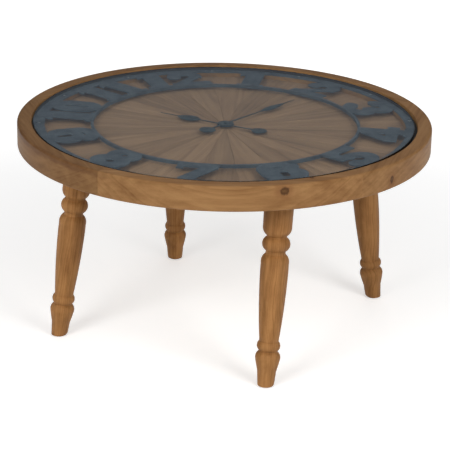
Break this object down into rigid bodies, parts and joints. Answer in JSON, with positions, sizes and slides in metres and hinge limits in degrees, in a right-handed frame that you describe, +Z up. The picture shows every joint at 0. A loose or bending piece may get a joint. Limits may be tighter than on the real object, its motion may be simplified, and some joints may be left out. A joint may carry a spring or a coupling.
{
  "type": "coffee table",
  "caption": "Round wooden coffee table on splayed turned legs, with a working clock dial of metal numerals and hands set under a glass top.",
  "frame": {"origin": "on the floor under the centre of the round top", "axes": "+Z up; -Y towards the side seen in the picture; the dial's twelve lies 110 degrees round from +X"},
  "size_m": [0.9, 0.9, 0.469],
  "materials": {
    "rim_wood": "satin brown-stained fir",
    "dowel_wood": "bare beech",
    "glass": "clear polished",
    "seal_rubber": "matt black",
    "dial_metal": "aged blue-grey",
    "screw_steel": "zinc plated",
    "board_wood": "satin, boards of different tones",
    "plywood": "bare plywood",
    "leg_wood": "satin brown-stained fir",
    "block_wood": "satin",
    "insert_brass": "plain",
    "pad_plastic": "matt brown",
    "case_plastic": "fine grained black",
    "circuit_plastic": "green lacquer",
    "coil_copper": "enamelled copper wire",
    "gear_plastic": "natural white",
    "knob_plastic": "black",
    "battery_shell": "plain grey sleeve",
    "contact_steel": "plated spring steel",
    "hand_metal": "aged blue-grey"
  },
  "bodies": {
    "table": {"rim_segment_1": "rim_wood", "rim_segment_2": "rim_wood", "rim_segment_3": "rim_wood", "rim_segment_4": "rim_wood", "rim_segment_5": "rim_wood", "rim_dowels": "dowel_wood", "glass_seal": "seal_rubber", "dial_outer_band": "dial_metal", "dial_inner_ring": "dial_metal", "band_screws": "screw_steel", "numeral_01": "dial_metal", "numeral_02": "dial_metal", "numeral_03": "dial_metal", "numeral_04": "dial_metal", "numeral_05": "dial_metal", "numeral_06": "dial_metal", "numeral_07": "dial_metal", "numeral_08": "dial_metal", "numeral_09": "dial_metal", "numeral_10": "dial_metal", "numeral_11": "dial_metal", "numeral_12": "dial_metal", "sunburst_panel_1": "board_wood", "sunburst_panel_2": "board_wood", "sunburst_panel_3": "board_wood", "sunburst_panel_4": "board_wood", "sunburst_panel_5": "board_wood", "sunburst_panel_6": "board_wood", "sunburst_panel_7": "board_wood", "sunburst_panel_8": "board_wood", "board_core": "plywood", "board_screws": "screw_steel", "leg_1": "leg_wood", "leg_block_1": "block_wood", "leg_2": "leg_wood", "leg_block_2": "block_wood", "leg_3": "leg_wood", "leg_block_3": "block_wood", "leg_4": "leg_wood", "leg_block_4": "block_wood", "leg_bolts": "screw_steel", "leg_inserts": "insert_brass", "block_screws": "screw_steel", "foot_pads": "pad_plastic", "movement_case": "case_plastic", "movement_back": "case_plastic", "stem_nut_and_washer": "insert_brass", "circuit_board": "circuit_plastic", "drive_coil": "coil_copper", "battery_contacts": "contact_steel"},
    "glass": {"glass_top": "glass"},
    "minute_set": {"minute_hand": "hand_metal", "minute_cap": "hand_metal", "minute_arbor": "gear_plastic"},
    "hour_set": {"hour_hand": "hand_metal", "hour_tube": "gear_plastic"},
    "setting_set": {"motion_wheel": "gear_plastic", "setting_knob": "knob_plastic"},
    "battery": {"battery": "battery_shell"}
  },
  "joints": [
    {"name": "glass_lift", "type": "slide", "parent": "table", "child": "glass", "axis": [0, 0, 1], "range_m": [0, 0.15]},
    {"name": "minute_turn", "type": "hinge", "parent": "table", "child": "minute_set", "pos_m": [0.0021, 0, 0.4493], "axis": [0, 0, -1], "continuous": true},
    {"name": "hour_turn", "type": "hinge", "parent": "table", "child": "hour_set", "pos_m": [0.0021, 0, 0.4473], "axis": [0, 0, -1], "continuous": true},
    {"name": "setting_turn", "type": "hinge", "parent": "table", "child": "setting_set", "pos_m": [0.0021, 0.0116, 0.4079], "axis": [0, 0, -1], "continuous": true},
    {"name": "battery_out", "type": "slide", "parent": "table", "child": "battery", "axis": [0, 0, -1], "range_m": [0, 0.06]}
  ],
  "couplings": [
    {"joint": "hour_turn", "follows": "minute_turn", "ratio": 0.083333},
    {"joint": "setting_turn", "follows": "minute_turn", "ratio": -0.33333}
  ]
}
